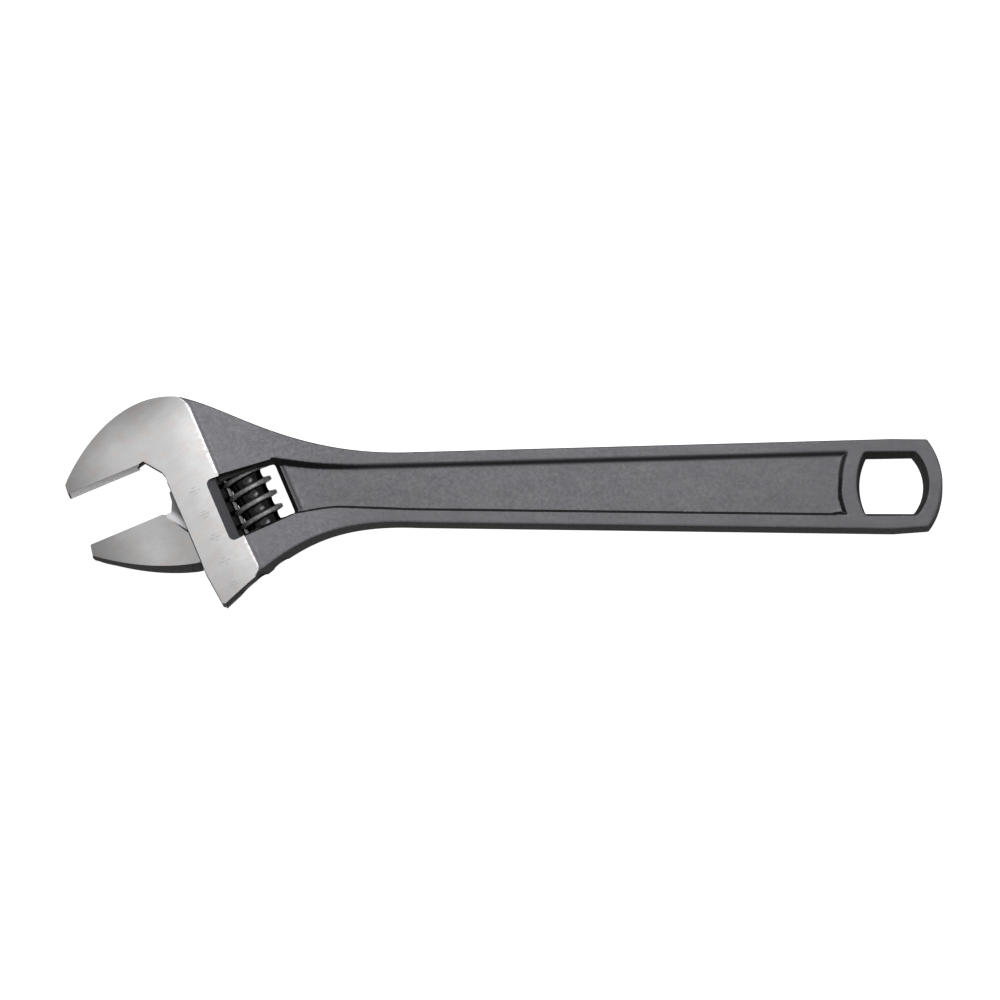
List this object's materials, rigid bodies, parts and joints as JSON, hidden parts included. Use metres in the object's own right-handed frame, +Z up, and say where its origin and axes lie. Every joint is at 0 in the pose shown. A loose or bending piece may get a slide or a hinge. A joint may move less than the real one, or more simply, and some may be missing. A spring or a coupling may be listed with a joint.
{
  "type": "adjustable wrench",
  "caption": "Adjustable wrench with a fixed jaw forged onto a long panelled handle, a sliding lower jaw with a rack, and a thumb-turned worm that opens and closes the jaws.",
  "frame": {"origin": "middle of the wrench's outline seen from above, on the plane its head lies on", "axes": "+X along the handle towards the hanging hole, +Y towards the fixed jaw, +Z up through the thickness"},
  "size_m": [0.4581, 0.1072, 0.026],
  "materials": {
    "black_forging": "black phosphate on a satin forging, with bright ground faces on the head",
    "ground_jaw": "ground faces with black sides",
    "black_knurl": "black oxide, semi-gloss",
    "pin_steel": "dull machined steel",
    "spring_steel": "bright wire"
  },
  "bodies": {
    "frame": {"body": "black_forging", "worm_pin": "pin_steel", "worm_spring": "spring_steel"},
    "jaw": {"movable_jaw": "ground_jaw"},
    "worm": {"adjusting_worm": "black_knurl"}
  },
  "joints": [
    {"name": "jaw_slide", "type": "slide", "parent": "frame", "child": "jaw", "axis": [0.3827, -0.9239, 0], "range_m": [-0.0286, 0.0244]},
    {"name": "worm_spin", "type": "hinge", "parent": "frame", "child": "worm", "pos_m": [-0.132, 0.0018, 0.013], "axis": [-0.3827, 0.9239, 0], "range_deg": [-1329, 1134]}
  ],
  "couplings": [
    {"joint": "worm_spin", "follows": "jaw_slide", "rad_per_m": 810.73}
  ]
}
